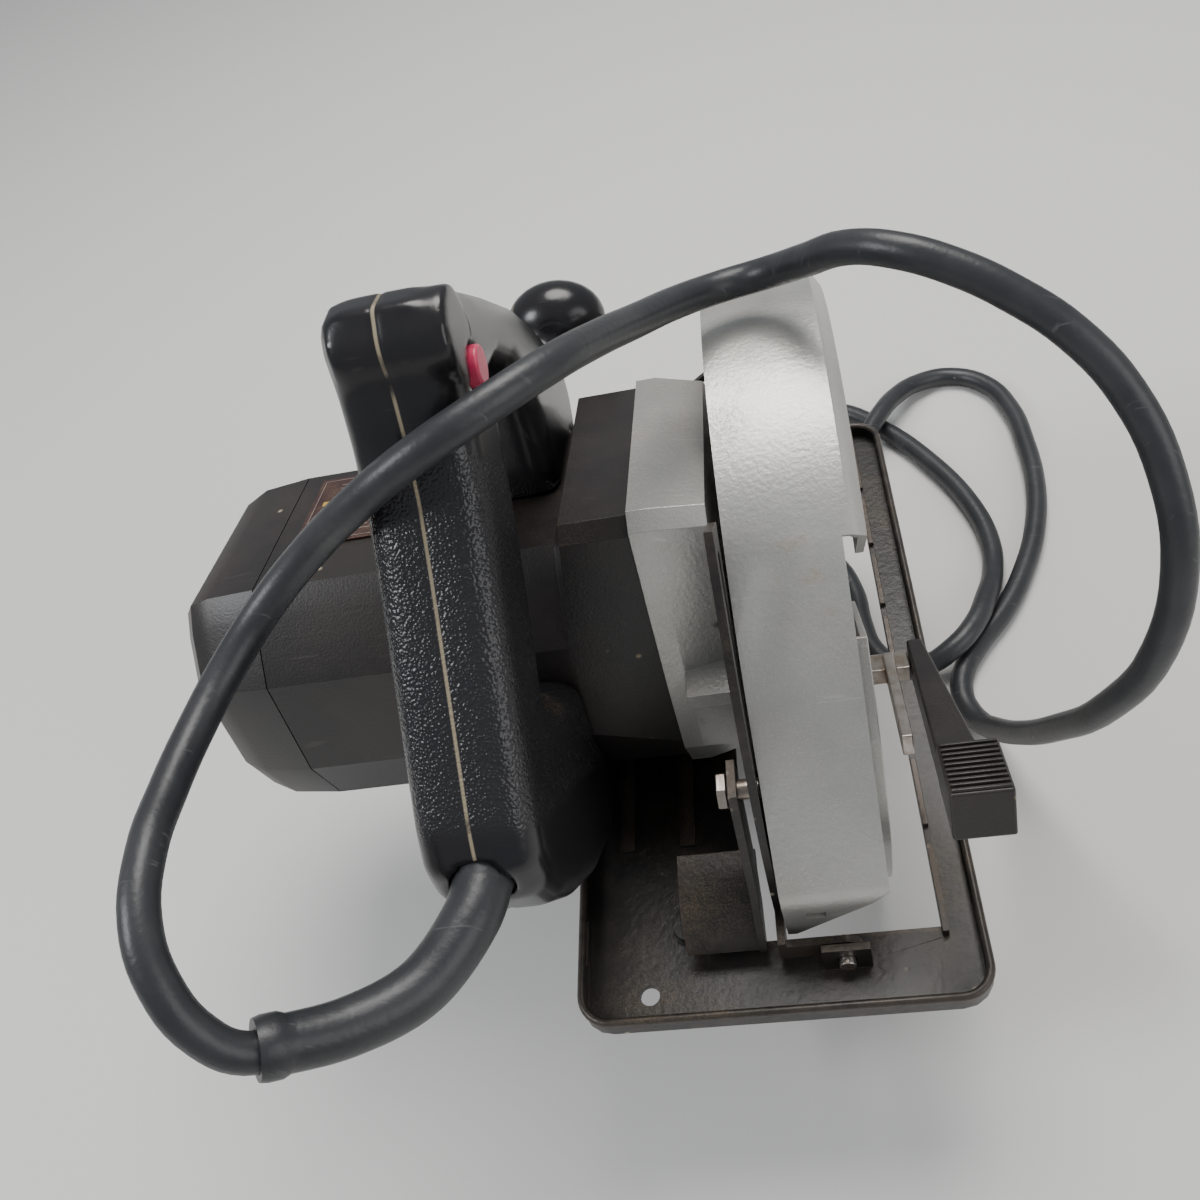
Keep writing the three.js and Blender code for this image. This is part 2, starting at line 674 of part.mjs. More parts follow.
sawGroup.add(piece("end_cap", endCap(), housingPlastic));

// The rating label lies on the long upper flat of the housing.
const flatTurn = Math.atan2(TOP_FRONT[1] - TOP_REAR[1], TOP_FRONT[0] - TOP_REAR[0]);
const label = piece("rating_label", box(-17, 17, -20, 20, GAP, 0.7), labelFilm);
label.position.set(-79, (TOP_FRONT[0] + TOP_REAR[0]) / 2 + 7, (TOP_FRONT[1] + TOP_REAR[1]) / 2 - 1.5);
label.rotation.x = flatTurn;
sawGroup.add(label);

// D-shaped handle in two moulded halves that meet on the handle's middle plane.
const handleLine = [
  [26, 78],
  [37, 84],
  [45, 94],
  [47, 104],
  [42, 116],
  [30, 133],
  [13, 153],
  [-9, 172],
  [-24, 184],
  [-37, 193],
  [-45, 200],
  [-54, 202],
  [-60, 196],
  [-63, 186],
  [-68, 176],
  [-76, 164],
  [-89, 151],
  [-104, 137],
  [-119, 123],
  [-131, 112],
  [-138, 103],
  [-139, 92],
  [-134, 77],
  [-124, 60],
  [-108, 40],
  [-90, 25],
  [-70, 16],
  [-54, 16],
  [-42, 26],
  [-42, 44],
  [-50, 62],
  [-62, 76],
  [-76, 86],
  [-88, 96],
  [-89, 104],
  [-80, 112],
  [-66, 125],
  [-52, 139],
  [-42, 152],
  [-34, 163],
  [-24, 160],
  [-12, 149],
  [-7, 138],
  [-9, 124],
  [-13, 108],
  [-12, 92],
  [6, 80],
];
const cavityLine = [
  [-56, 190],
  [-61, 178],
  [-71, 162],
  [-85, 147],
  [-100, 133],
  [-115, 118],
  [-126, 106],
  [-127, 96],
  [-118, 88],
  [-106, 96],
  [-94, 107],
  [-84, 117],
  [-70, 130],
  [-56, 144],
  [-46, 158],
  [-40, 170],
  [-40, 184],
  [-47, 192],
];
const gripAlong = [-0.735, -0.678];
const gripInto = [0.678, -0.735];
const atGrip = (along, into, [y, z] = [-66, 127]) => [
  y + along * gripAlong[0] + into * gripInto[0],
  z + along * gripAlong[1] + into * gripInto[1],
];
const gripBlock = (a0, a1, n0, n1, x0, x1) =>
  prismX([atGrip(a0, n0), atGrip(a1, n0), atGrip(a1, n1), atGrip(a0, n1)], x0, x1);
const reliefLine = [
  [HANDLE_X, -125, 98],
  [HANDLE_X, -133, 97],
  [-29, -146, 97],
  [-39, -161, 97],
  [-53, -171, 102],
  [-68, -178, 111],
];
const screwAt = [
  [-113, 62],
  [-120, 104],
  [-20, 168],
  [18, 124],
];
const KEY_Y = -48;
const KEY_Z = 178;
function handleSolid() {
  const horn = rodX(11, handleX0 + 3, handleX1 + 1, -51, 190, 24);
  const body = join(prismX(handleLine, handleX0, handleX1, 7), horn);
  return cut(
    body,
    prismX(cavityLine, HANDLE_X - 10, HANDLE_X + 10),
    housingHull(GAP + 0.2, HOUSING_X0 - 20),
    gripBlock(-33, 3, -10, 20, HANDLE_X - 7, HANDLE_X + 7),
    tube(reliefLine, 7.7, 16, 16),
    prismX(arc(KEY_Y, KEY_Z, 5.6, 0, 345, 15), HANDLE_X + 5, handleX1 + 5),
    ...screwAt.map(([y, z]) => rodX(2.2, handleX0 - 3, handleX1 - 4, y, z, 12)),
    ...screwAt.map(([y, z]) => rodX(4, handleX0 - 3, handleX0 + 3, y, z, 16)),
  );
}
const whole = handleSolid();
const leftHalf = whole.intersect(box(-90, HANDLE_X - GAP / 2, -260, 160, -20, 260));
const rightHalf = whole.intersect(box(HANDLE_X + GAP / 2, 40, -260, 160, -20, 260));
handleGroup.add(piece("handle_left_half", leftHalf, blackPlastic));
handleGroup.add(piece("handle_right_half", rightHalf, blackPlastic));
screwAt.forEach(([y, z], i) => {
  const screw = join(
    rodX(3.6, handleX0 + 0.4, handleX0 + 2.6, y, z, 16),
    rodX(1.8, handleX0 + 2, handleX1 - 5, y, z, 10),
  );
  handleGroup.add(piece("handle_screw_" + (i + 1), screw, brightSteel));
});
handleGroup.add(piece("switch_body", gripBlock(-8, 22, -25, -11.5, HANDLE_X - 9, HANDLE_X + 9), housingPlastic));
function triggerSolid() {
  const line = [
    atGrip(-30, -6),
    atGrip(-31, 4),
    atGrip(-22, 6.5),
    atGrip(-12, 6),
    atGrip(-1, 9),
    atGrip(1, 6),
    atGrip(0, -1),
    atGrip(-22, -2),
  ];
  return prismX(line, HANDLE_X - 6, HANDLE_X + 6);
}
handleGroup.add(piece("trigger", triggerSolid(), blackPlastic));
handleGroup.add(
  piece("trigger_spring", gripBlock(-7, -2, -10.8, -2.2, HANDLE_X - 2.5, HANDLE_X + 2.5), brightSteel),
);
handleGroup.add(
  piece("lock_off_button", prismX(arc(KEY_Y, KEY_Z, 5, 0, 345, 15), HANDLE_X + 4, handleX1 + 2.4), redPlastic),
);

// Front knob, a rounded pommel that reaches over the gear case.
function frontKnob() {
  const ball = solid(new THREE.SphereGeometry(1, 24, 14).scale(17, 13, 14).translate(-13, 63, 110));
  const stem = tube([[-20, 44, 104], [-17, 54, 107], [-14, 62, 110]], 8, 12, 4);
  return cut(join(ball, stem), prismX(handleLine, handleX0 - 1, handleX1 + GAP));
}
handleGroup.add(piece("front_knob", frontKnob(), blackPlastic));

// Strain relief and the mains lead.
cordGroup.add(piece("strain_relief", tube(reliefLine, 7.2, 14, 16), rubber));

const leadAir = [
  [-69.9, -179.3, 112.8],
  [-76.5, -178, 120],
  [-82.5, -171, 130.5],
  [-86.5, -160, 137],
  [-88.5, -145, 139],
  [-89.5, -127, 136.5],
  [-87.5, -109, 135.5],
  [-81.5, -93, 138],
  [-71.5, -81, 144],
  [-57, -76, 154.4],
  [-39.6, -77.6, 168],
  [-24, -76.5, 177.2],
  [-8, -70, 181.5],
  [7, -56, 180],
  [16, -35, 170],
  [24, -14, 158.5],
  [34, 4, 149.5],
  [46, 14, 145],
  [58, 14, 146.5],
  [68.5, 4.5, 154.5],
  [79, -6, 163],
  [90, -15, 165.6],
  [103, -22, 162.5],
  [115, -29, 157],
  [127, -37, 149],
  [138, -47, 136.5],
  [145.5, -59, 119],
  [148, -70, 97],
  [145, -75, 71],
  [138, -67, 36],
  [131, -46, -5],
  [124.5, -25, -38],
  [119.6, -11, -55],
  [117.6, -6.4, -59.6],
];
const floorZ = FLOOR_Z + cordR;
const overZ = floorZ + CORD_D + 0.4;
const leadFloor = [
  [116.4, -3.4, floorZ + 2.8],
  [113.5, 4, floorZ + 0.5],
  [112, 13, floorZ],
  [114.5, 24, floorZ],
  [122, 36, floorZ],
  [137, 54, floorZ],
  [149, 74, floorZ],
  [159, 98, floorZ],
  [165, 125, floorZ],
  [166.5, 152, floorZ],
  [165, 177, floorZ],
  [157, 198, floorZ],
  [142, 208, floorZ],
  [126, 205, floorZ + 2],
  [113, 193, floorZ + 6],
  [104, 179, overZ],
  [95.5, 165, overZ],
  [87, 151, overZ],
];
const leadBack = [
  [86.1, 149.5, overZ],
  [78, 140.5, floorZ + 8],
  [66, 137.5, floorZ + 3],
  [53, 143, floorZ],
  [43, 156, floorZ],
  [41, 174, floorZ],
  [49, 191, floorZ],
  [66, 199, floorZ],
  [85, 195, floorZ],
  [103, 178, floorZ],
  [123, 147, floorZ],
  [135, 117, floorZ],
  [138.5, 92, floorZ],
  [136, 74, floorZ + 1.2],
  [130, 57, floorZ + 6.6],
  [122, 41, overZ],
  [112, 31, floorZ + 8.2],
  [100, 27.5, floorZ + 3],
  [89, 31, floorZ],
  [81, 41, floorZ],
  [78, 56, floorZ],
  [77, 74, floorZ],
  [71, 92, floorZ],
  [58, 106, floorZ],
  [44, 117, floorZ],
  [36, 128, floorZ],
  [34, 138, floorZ],
];
const COIL_X = -24;
const COIL_Y = 160;
const COIL_IN = 36;
const COIL_OUT = 54;
const COIL_H = 17.8;
cordGroup.add(piece("lead_raised", tube(leadAir, cordR, 8, 34), rubber));
cordGroup.add(piece("lead_on_floor", tube(leadFloor, cordR, 8, 17), rubber));
cordGroup.add(piece("lead_return", tube(leadBack, cordR, 8, 25), rubber));
const ring = turned(
  [
    [COIL_IN, 4.4],
    [COIL_IN + 4, 0],
    [COIL_OUT - 4, 0],
    [COIL_OUT, 4.4],
    [COIL_OUT, COIL_H - 4.4],
    [COIL_OUT - 4, COIL_H],
    [COIL_IN + 4, COIL_H],
    [COIL_IN, COIL_H - 4.4],
  ],
  32,
);
const coil = piece("lead_coil", ring, rubber);
coil.position.set(COIL_X, COIL_Y, FLOOR_Z + 0.1);
cordGroup.add(coil);

// The plug lies on the coil's turns, on its right, with its blades along +Y.
const plug = new THREE.Group();
plug.position.set(COIL_X + 45, COIL_Y, FLOOR_Z + COIL_H + 9.2);
plug.rotation.z = Math.PI / 2;
cordGroup.add(plug);
plug.add(piece("plug_body", box(-16, 20, -11, 11, -8.6, 8.6), rubber));
for (const [side, name] of [[1, "a"], [-1, "b"]])
  plug.add(
    piece("plug_blade_" + name, box(20.3, 37, side * 6.3 - 0.8, side * 6.3 + 0.8, -3.2, 3.2), brightSteel),
  );

export default saw;
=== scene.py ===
"""Finish of a corded circular saw: moulded plastic, silver castings, worn black steel and a rubber lead."""
import json
import math

import bmesh
import bpy
from mathutils import Matrix, Vector

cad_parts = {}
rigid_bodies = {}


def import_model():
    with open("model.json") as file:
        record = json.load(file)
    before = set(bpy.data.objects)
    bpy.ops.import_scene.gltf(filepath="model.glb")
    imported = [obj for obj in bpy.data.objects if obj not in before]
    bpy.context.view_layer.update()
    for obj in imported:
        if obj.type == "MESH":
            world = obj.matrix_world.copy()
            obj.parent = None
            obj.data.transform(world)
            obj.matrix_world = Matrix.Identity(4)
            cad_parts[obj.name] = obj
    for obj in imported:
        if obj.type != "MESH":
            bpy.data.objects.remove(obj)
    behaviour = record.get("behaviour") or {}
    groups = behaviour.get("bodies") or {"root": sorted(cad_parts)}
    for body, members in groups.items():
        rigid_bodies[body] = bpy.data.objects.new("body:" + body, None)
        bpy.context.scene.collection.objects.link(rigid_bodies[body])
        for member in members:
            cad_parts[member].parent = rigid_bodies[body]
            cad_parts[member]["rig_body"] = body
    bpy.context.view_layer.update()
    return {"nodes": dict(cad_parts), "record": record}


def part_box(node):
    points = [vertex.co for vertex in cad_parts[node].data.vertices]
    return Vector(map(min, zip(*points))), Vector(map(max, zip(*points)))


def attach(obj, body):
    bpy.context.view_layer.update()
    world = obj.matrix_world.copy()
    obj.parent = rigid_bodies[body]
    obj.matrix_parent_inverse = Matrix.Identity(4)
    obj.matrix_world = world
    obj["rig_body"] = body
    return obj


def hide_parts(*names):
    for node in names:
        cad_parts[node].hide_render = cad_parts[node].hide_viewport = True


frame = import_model()

MM = 0.001
FLOOR_Z = -69
CORD_R = 4.5
GRIP_X = -26
ARBOR = (0, 30)


def mm(x, y, z):
    return Vector((x * MM, y * MM, z * MM))


# Camera, floor and light ------------------------------------------------------------------


def set_camera():
    data = bpy.data.cameras.new("camera")
    data.sensor_width = 36
    data.lens = 34.8
    data.clip_start = 0.01
    camera = bpy.data.objects.new("camera", data)
    right = Vector((0.974, 0.013, -0.225)).normalized()
    up = Vector((0.137, 0.755, 0.641))
    up = (up - right * up.dot(right)).normalized()
    back = right.cross(up)
    turn = Matrix((right, up, back)).transposed().to_4x4()
    camera.matrix_world = Matrix.Translation(mm(58.4, -265.7, 334.7)) @ turn
    bpy.context.scene.collection.objects.link(camera)
    bpy.context.scene.camera = camera


def soft_light(name, place, aim, size, power, colour=(1, 1, 1)):
    data = bpy.data.lights.new(name, "AREA")
    data.shape = "DISK"
    data.size = size
    data.energy = power
    data.color = colour
    lamp = bpy.data.objects.new(name, data)
    lamp.location = place
    lamp.rotation_euler = (Vector(aim) - Vector(place)).to_track_quat("-Z", "Y").to_euler()
    bpy.context.scene.collection.objects.link(lamp)


def set_studio():
    world = bpy.data.worlds.new("studio")
    world.use_nodes = True
    world.node_tree.nodes["Background"].inputs["Color"].default_value = (0.82, 0.85, 0.9, 1)
    world.node_tree.nodes["Background"].inputs["Strength"].default_value = 0.42
    bpy.context.scene.world = world
    soft_light("ceiling_panel", (0.15, 0.5, 1.25), (0, 0, 0.05), 0.8, 16, (1, 0.98, 0.95))
    soft_light("left_window", (-0.9, -0.35, 0.9), (0, -0.05, 0.05), 0.45, 7, (0.95, 0.97, 1))
    soft_light("right_fill", (1.0, -0.6, 0.6), (0.05, 0, 0.03), 0.9, 4.5)
    mesh = bpy.data.meshes.new("floor")
    mesh.from_pydata(
        [(x, y, FLOOR_Z * MM) for x, y in ((-4, -4), (4, -4), (4, 4), (-4, 4))], [], [(0, 1, 2, 3)]
    )
    floor = bpy.data.objects.new("floor", mesh)
    bpy.context.scene.collection.objects.link(floor)
    paper = bpy.data.materials.new("pale_paper")
    paper.use_nodes = True
    shader = paper.node_tree.nodes["Principled BSDF"]
    shader.inputs["Base Color"].default_value = (0.72, 0.71, 0.69, 1)
    shader.inputs["Roughness"].default_value = 0.8
    floor.data.materials.append(paper)


set_camera()
set_studio()


# Shader groups shared by the finishes --------------------------------------------------------


class Wiring:
    """A few short ways to add and join nodes in one tree."""

    def __init__(self, tree):
        self.tree = tree

    def add(self, kind, **settings):
        node = self.tree.nodes.new(kind)
        for key, value in settings.items():
            setattr(node, key, value)
        return node

    def feed(self, value, socket):
        if isinstance(value, bpy.types.NodeSocket):
            self.tree.links.new(value, socket)
        elif value is not None:
            socket.default_value = value

    def maths(self, operation, a, b=None, clamp=False):
        node = self.add("ShaderNodeMath", operation=operation, use_clamp=clamp)
        self.feed(a, node.inputs[0])
        self.feed(b, node.inputs[1])
        return node.outputs[0]

    def ramp(self, value, low, high, out_low=0.0, out_high=1.0):
        node = self.add("ShaderNodeMapRange", interpolation_type="SMOOTHSTEP")
        self.feed(value, node.inputs["Value"])
        self.feed(low, node.inputs["From Min"])
        self.feed(high, node.inputs["From Max"])
        self.feed(out_low, node.inputs["To Min"])
        self.feed(out_high, node.inputs["To Max"])
        return node.outputs["Result"]

    def blend(self, amount, a, b):
        node = self.add("ShaderNodeMix", data_type="RGBA")
        self.feed(amount, node.inputs["Factor"])
        self.feed(a, node.inputs["A"])
        self.feed(b, node.inputs["B"])
        return node.outputs["Result"]

    def noise(self, place, scale, detail=3.0, rough=0.55):
        node = self.add("ShaderNodeTexNoise")
        self.feed(place, node.inputs["Vector"])
        self.feed(scale, node.inputs["Scale"])
        node.inputs["Detail"].default_value = detail
        node.inputs["Roughness"].default_value = rough
        return node.outputs["Fac"]


def shader_group(name, inputs, outputs, build):
    tree = bpy.data.node_groups.new(name, "ShaderNodeTree")
    kinds = {"v": "NodeSocketVector", "f": "NodeSocketFloat", "c": "NodeSocketColor"}
    for label, kind in inputs:
        tree.interface.new_socket(label, in_out="INPUT", socket_type=kinds[kind])
    for label, kind in outputs:
        tree.interface.new_socket(label, in_out="OUTPUT", socket_type=kinds[kind])
    wiring = Wiring(tree)
    entry = wiring.add("NodeGroupInput")
    made = build(wiring, entry.outputs)
    leave = wiring.add("NodeGroupOutput")
    for (label, _), socket in zip(outputs, made):
        tree.links.new(socket, leave.inputs[label])
    return tree


def build_mottle(w, i):
    cloud = w.noise(i["Place"], i["Scale"], 4.0)
    return [w.blend(w.ramp(cloud, 0.35, 0.68), i["Base"], i["Shade"])]


def build_dust(w, i):
    up = w.add("ShaderNodeSeparateXYZ")
    w.feed(w.add("ShaderNodeNewGeometry").outputs["Normal"], up.inputs[0])
    lying = w.ramp(up.outputs["Z"], 0.1, 0.95)
    patches = w.ramp(w.noise(i["Place"], i["Scale"], 6.0, 0.65), 0.42, 0.7)
    grit = w.ramp(w.noise(i["Place"], 1900.0, 2.0), 0.4, 0.66)
    mask = w.maths("MULTIPLY", w.maths("MULTIPLY", lying, patches), grit)
    return [w.maths("MULTIPLY", mask, i["Cover"], clamp=True)]


def build_specks(w, i):
    cells = w.add("ShaderNodeTexVoronoi")
    w.feed(i["Place"], cells.inputs["Vector"])
    w.feed(i["Scale"], cells.inputs["Scale"])
    dot = w.ramp(cells.outputs["Distance"], i["Size"], 0.0)
    pick = w.add("ShaderNodeSeparateXYZ")
    w.feed(cells.outputs["Color"], pick.inputs[0])
    chosen = w.maths("GREATER_THAN", pick.outputs["X"], i["Rarity"])
    return [w.maths("MULTIPLY", dot, chosen)]


def build_wear(w, i):
    edge = w.add("ShaderNodeNewGeometry").outputs["Pointiness"]
    ragged = w.noise(i["Place"], i["Scale"], 5.0, 0.7)
    lifted = w.maths("ADD", edge, w.maths("MULTIPLY", w.maths("SUBTRACT", ragged, 0.5), 0.09))
    return [w.maths("MULTIPLY", w.ramp(lifted, 0.525, 0.575), i["Amount"])]


def build_scuffs(w, i):
    stretch = w.add("ShaderNodeMapping")
    w.feed(i["Place"], stretch.inputs["Vector"])
    stretch.inputs["Scale"].default_value = (60, 900, 140)
    stretch.inputs["Rotation"].default_value = (0.5, 0.3, 0.9)
    return [w.maths("MULTIPLY", w.ramp(w.noise(stretch.outputs[0], 1.0, 2.0), 0.66, 0.74), i["Amount"])]


PLACE = ("Place", "v")
SCALE = ("Scale", "f")
MOTTLE = shader_group(
    "mottled_tone", [PLACE, SCALE, ("Base", "c"), ("Shade", "c")], [("Colour", "c")], build_mottle
)
DUST = shader_group("settled_sawdust", [PLACE, SCALE, ("Cover", "f")], [("Mask", "f")], build_dust)
SPECKS = shader_group(
    "scattered_specks", [PLACE, SCALE, ("Size", "f"), ("Rarity", "f")], [("Mask", "f")], build_specks
)
WEAR = shader_group("worn_edges", [PLACE, SCALE, ("Amount", "f")], [("Mask", "f")], build_wear)
SCUFFS = shader_group("light_scuffs", [PLACE, ("Amount", "f")], [("Mask", "f")], build_scuffs)

SAWDUST = (0.36, 0.25, 0.13, 1)


class Finish(Wiring):
    """A material being built: colour, roughness and relief are layered, then joined to the shader."""

    def __init__(self, name, colour, shade, roughness, metallic=0.0, cloud=60.0):
        self.material = bpy.data.materials.new(name)
        self.material.use_nodes = True
        super().__init__(self.material.node_tree)
        self.shader = self.tree.nodes["Principled BSDF"]
        self.place = self.add("ShaderNodeTexCoord").outputs["Object"]
        self.colour = self.use(MOTTLE, Scale=cloud, Base=colour, Shade=shade)
        self.roughness = roughness
        self.metallic = metallic
        self.height = None
        self.material.diffuse_color = colour

    def use(self, group, **values):
        node = self.add("ShaderNodeGroup", node_tree=group)
        if "Place" in node.inputs:
            self.feed(self.place, node.inputs["Place"])
        for key, value in values.items():
            self.feed(value, node.inputs[key])
        return node.outputs[0]

    def layer(self, mask, colour, roughness=None, metallic=None):
        self.colour = self.blend(mask, self.colour, colour)
        for key, value in (("roughness", roughness), ("metallic", metallic)):
            if value is None:
                continue
            mix = self.add("ShaderNodeMix", data_type="FLOAT")
            self.feed(mask, mix.inputs["Factor"])
            self.feed(getattr(self, key), mix.inputs["A"])
            self.feed(value, mix.inputs["B"])
            setattr(self, key, mix.outputs["Result"])

    def relief(self, height, depth):
        part = self.maths("MULTIPLY", height, depth)
        self.height = part if self.height is None else self.maths("ADD", self.height, part)

    def done(self):
        self.feed(self.colour, self.shader.inputs["Base Color"])
        self.feed(self.roughness, self.shader.inputs["Roughness"])
        self.feed(self.metallic, self.shader.inputs["Metallic"])
        if self.height is not None:
            bump = self.add("ShaderNodeBump")
            bump.inputs["Strength"].default_value = 1.0
            bump.inputs["Distance"].default_value = 1.0
            self.feed(self.height, bump.inputs["Height"])
            self.tree.links.new(bump.outputs["Normal"], self.shader.inputs["Normal"])
        return self.material


def silver_casting():
    f = Finish("silver_casting", (0.5, 0.495, 0.47, 1), (0.43, 0.425, 0.4, 1), 0.38, 0.7, 22.0)
    flake = f.noise(f.place, 2600.0, 2.0)
    f.layer(f.ramp(flake, 0.5, 0.75, 0.0, 0.5), (0.68, 0.67, 0.64, 1), 0.28)
    stain = f.maths("MULTIPLY", f.ramp(f.noise(f.place, 38.0, 6.0, 0.7), 0.62, 0.74), 0.5)
    f.layer(stain, (0.24, 0.17, 0.09, 1), 0.6, 0.3)
    f.layer(f.use(SPECKS, Scale=62.0, Size=0.16, Rarity=0.93), (0.06, 0.025, 0.012, 1), 0.8, 0.0)
    f.layer(f.use(SCUFFS, Amount=0.25), (0.75, 0.74, 0.72, 1), 0.3)
    f.layer(f.use(DUST, Scale=24.0, Cover=0.35), SAWDUST, 0.9, 0.0)
    f.relief(f.noise(f.place, 700.0, 3.0), 0.00012)
    return f.done()


def black_steel():
    f = Finish("black_steel", (0.014, 0.013, 0.013, 1), (0.03, 0.026, 0.023, 1), 0.36, 0.2, 45.0)
    f.layer(f.use(WEAR, Scale=180.0, Amount=0.3), (0.17, 0.13, 0.1, 1), 0.4, 0.7)
    f.layer(f.use(DUST, Scale=26.0, Cover=0.2), SAWDUST, 0.9, 0.0)
    f.layer(f.use(SPECKS, Scale=170.0, Size=0.22, Rarity=0.9), (0.5, 0.44, 0.36, 1), 0.8, 0.0)
    f.relief(f.noise(f.place, 420.0, 4.0), 0.00016)
    return f.done()


def bright_steel():
    f = Finish("bright_steel", (0.42, 0.38, 0.34, 1), (0.3, 0.25, 0.2, 1), 0.38, 0.9, 160.0)
    f.layer(f.ramp(f.noise(f.place, 420.0, 5.0), 0.55, 0.7, 0.0, 0.6), (0.2, 0.12, 0.07, 1), 0.7, 0.3)
    f.layer(f.use(WEAR, Scale=300.0, Amount=0.8), (0.65, 0.6, 0.56, 1), 0.25, 1.0)
    f.relief(f.noise(f.place, 900.0, 3.0), 0.0001)
    return f.done()


def blade_steel():
    f = Finish("blade_steel", (0.42, 0.42, 0.43, 1), (0.33, 0.33, 0.34, 1), 0.3, 1.0, 90.0)
    f.layer(f.use(SCUFFS, Amount=0.5), (0.6, 0.6, 0.6, 1), 0.2)
    f.relief(f.noise(f.place, 1500.0, 2.0), 0.00005)
    return f.done()


def dark_iron():
    f = Finish("dark_iron", (0.13, 0.125, 0.12, 1), (0.08, 0.07, 0.065, 1), 0.5, 0.8, 120.0)
    f.relief(f.noise(f.place, 700.0, 3.0), 0.0001)
    return f.done()


def copper():
    f = Finish("copper", (0.62, 0.3, 0.15, 1), (0.42, 0.2, 0.1, 1), 0.35, 0.95, 140.0)
    f.layer(f.use(SCUFFS, Amount=0.4), (0.7, 0.45, 0.3, 1), 0.3)
    return f.done()


def carbon():
    f = Finish("carbon", (0.02, 0.02, 0.02, 1), (0.035, 0.035, 0.035, 1), 0.8, 0.0, 300.0)
    f.relief(f.noise(f.place, 1500.0, 2.0), 0.00008)
    return f.done()


GRIP_DIRECTION = Vector((0, -0.735, -0.678))
GRIP_MIDDLE = mm(GRIP_X, -84, 140)


def handle_plastic():
    f = Finish("handle_plastic", (0.009, 0.009, 0.011, 1), (0.014, 0.013, 0.014, 1), 0.24, 0.0, 30.0)
    along = f.add("ShaderNodeVectorMath", operation="DOT_PRODUCT")
    f.feed(f.place, along.inputs[0])
    along.inputs[1].default_value = GRIP_DIRECTION
    middle = GRIP_DIRECTION.dot(GRIP_MIDDLE)
    offset = f.maths("ABSOLUTE", f.maths("SUBTRACT", along.outputs["Value"], middle + 0.012))
    grip = f.ramp(offset, 0.046, 0.04)
    pebble = f.add("ShaderNodeTexVoronoi", feature="SMOOTH_F1")
    f.feed(f.place, pebble.inputs["Vector"])
    pebble.inputs["Scale"].default_value = 1400.0
    f.relief(f.maths("MULTIPLY", pebble.outputs["Distance"], grip), -0.00028)
    f.relief(f.noise(f.place, 900.0, 2.0), 0.00003)
    f.layer(f.maths("MULTIPLY", grip, 0.5), (0.02, 0.02, 0.022, 1), 0.3)
    split = f.add("ShaderNodeSeparateXYZ")
    f.feed(f.place, split.inputs[0])
    from_seam = f.maths("ABSOLUTE", f.maths("SUBTRACT", split.outputs["X"], GRIP_X * MM))
    seam = f.maths("MULTIPLY", f.ramp(from_seam, 0.0006, 0.0002), f.ramp(f.noise(f.place, 90.0), 0.3, 0.5))
    f.layer(seam, (0.3, 0.25, 0.17, 1), 0.8)
    f.layer(f.use(SCUFFS, Amount=0.12), (0.09, 0.09, 0.09, 1), 0.4)
    low = f.ramp(split.outputs["Z"], 0.098, 0.08)
    f.layer(f.maths("MULTIPLY", low, f.use(DUST, Scale=40.0, Cover=1.1)), SAWDUST, 0.9)
    f.layer(f.use(SPECKS, Scale=150.0, Size=0.12, Rarity=0.93), (0.22, 0.2, 0.17, 1), 0.7)
    return f.done()


def housing_plastic():
    f = Finish("housing_plastic", (0.013, 0.011, 0.011, 1), (0.022, 0.018, 0.016, 1), 0.38, 0.0, 26.0)
    f.layer(f.use(DUST, Scale=34.0, Cover=0.15), (0.16, 0.115, 0.07, 1), 0.8)
    f.layer(f.use(SPECKS, Scale=120.0, Size=0.15, Rarity=0.9), (0.42, 0.36, 0.25, 1), 0.8)
    f.layer(f.use(SCUFFS, Amount=0.18), (0.12, 0.1, 0.09, 1), 0.5)
    f.relief(f.noise(f.place, 1300.0, 3.0), 0.00007)
    return f.done()


def red_plastic():
    f = Finish("red_plastic", (0.72, 0.03, 0.12, 1), (0.6, 0.025, 0.1, 1), 0.3, 0.0, 200.0)
    f.layer(f.use(WEAR, Scale=300.0, Amount=0.4), (0.85, 0.25, 0.3, 1), 0.4)
    return f.done()


def label_film():
    f = Finish("label_film", (0.035, 0.012, 0.012, 1), (0.05, 0.02, 0.018, 1), 0.35, 0.0, 80.0)
    f.layer(f.use(DUST, Scale=60.0, Cover=0.4), SAWDUST, 0.8)
    return f.done()


def printed_bar(name, colour):
    f = Finish(name, colour, tuple(c * 0.7 for c in colour[:3]) + (1,), 0.5, 0.0, 300.0)
    f.layer(f.use(SPECKS, Scale=420.0, Size=0.3, Rarity=0.8), (0.05, 0.03, 0.02, 1), 0.6)
    return f.done()


def lead_rubber():
    f = Finish("lead_rubber", (0.024, 0.025, 0.028, 1), (0.036, 0.037, 0.04, 1), 0.4, 0.0, 50.0)
    f.layer(f.use(SCUFFS, Amount=0.4), (0.12, 0.12, 0.12, 1), 0.6)
    f.layer(f.use(SPECKS, Scale=160.0, Size=0.12, Rarity=0.92), (0.3, 0.27, 0.22, 1), 0.8)
    f.relief(f.noise(f.place, 500.0, 3.0), 0.00012)
    return f.done()


def plug_brass():
    f = Finish("plug_brass", (0.6, 0.5, 0.28, 1), (0.5, 0.4, 0.22, 1), 0.3, 1.0, 200.0)
    f.layer(f.use(SCUFFS, Amount=0.4), (0.75, 0.68, 0.5, 1), 0.25)
    return f.done()


